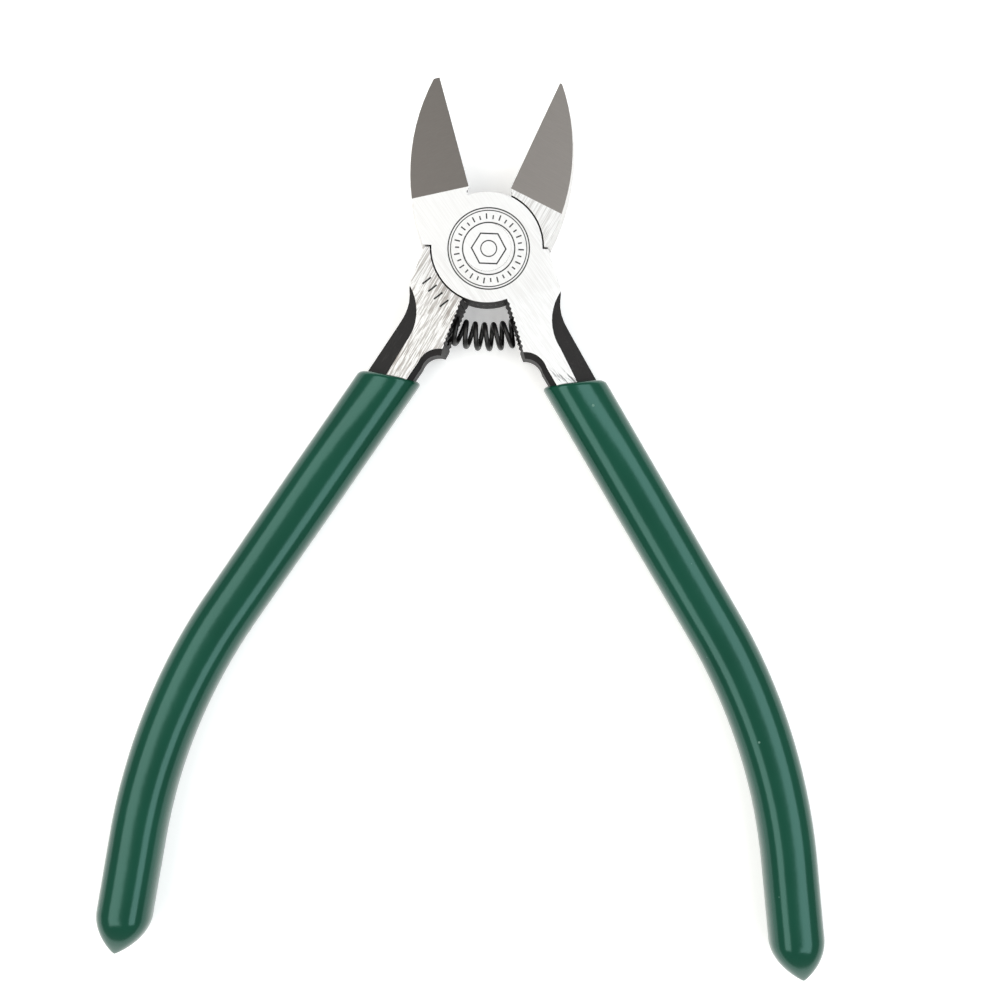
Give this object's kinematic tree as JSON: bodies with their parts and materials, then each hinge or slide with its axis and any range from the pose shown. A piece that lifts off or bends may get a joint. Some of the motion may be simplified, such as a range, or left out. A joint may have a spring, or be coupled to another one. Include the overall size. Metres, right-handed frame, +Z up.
{
  "type": "flush cut pliers",
  "caption": "Flush cut pliers with a round lap joint, a coil return spring and dipped grips on bowed handles, open at their stop.",
  "frame": {"origin": "on the pivot axis, in the plane that the head and grips rest on", "axes": "+Z up through the head, +Y towards the jaws along the handles' centreline, +X to the right"},
  "size_m": [0.1164, 0.1418, 0.01],
  "materials": {
    "ground_steel": "forged steel, black on the sides, flat faces ground bright with a fine brushed grain",
    "black_spring_wire": "blackened spring wire, satin",
    "green_dipped_grip": "dark green dipped PVC, smooth and glossy"
  },
  "bodies": {
    "lower": {"lower_half": "ground_steel", "left_grip": "green_dipped_grip", "pivot_rivet": "ground_steel", "return_spring": "black_spring_wire"},
    "upper": {"upper_half": "ground_steel", "right_grip": "green_dipped_grip"}
  },
  "joints": [
    {"name": "jaw_pivot", "type": "hinge", "parent": "lower", "child": "upper", "pos_m": [0, 0, 0.005], "axis": [0, 0, 1], "range_deg": [-39, 0], "stiffness_Nm_per_rad": 0.13, "springref_deg": 17.19, "deforming": ["return_spring"]}
  ]
}
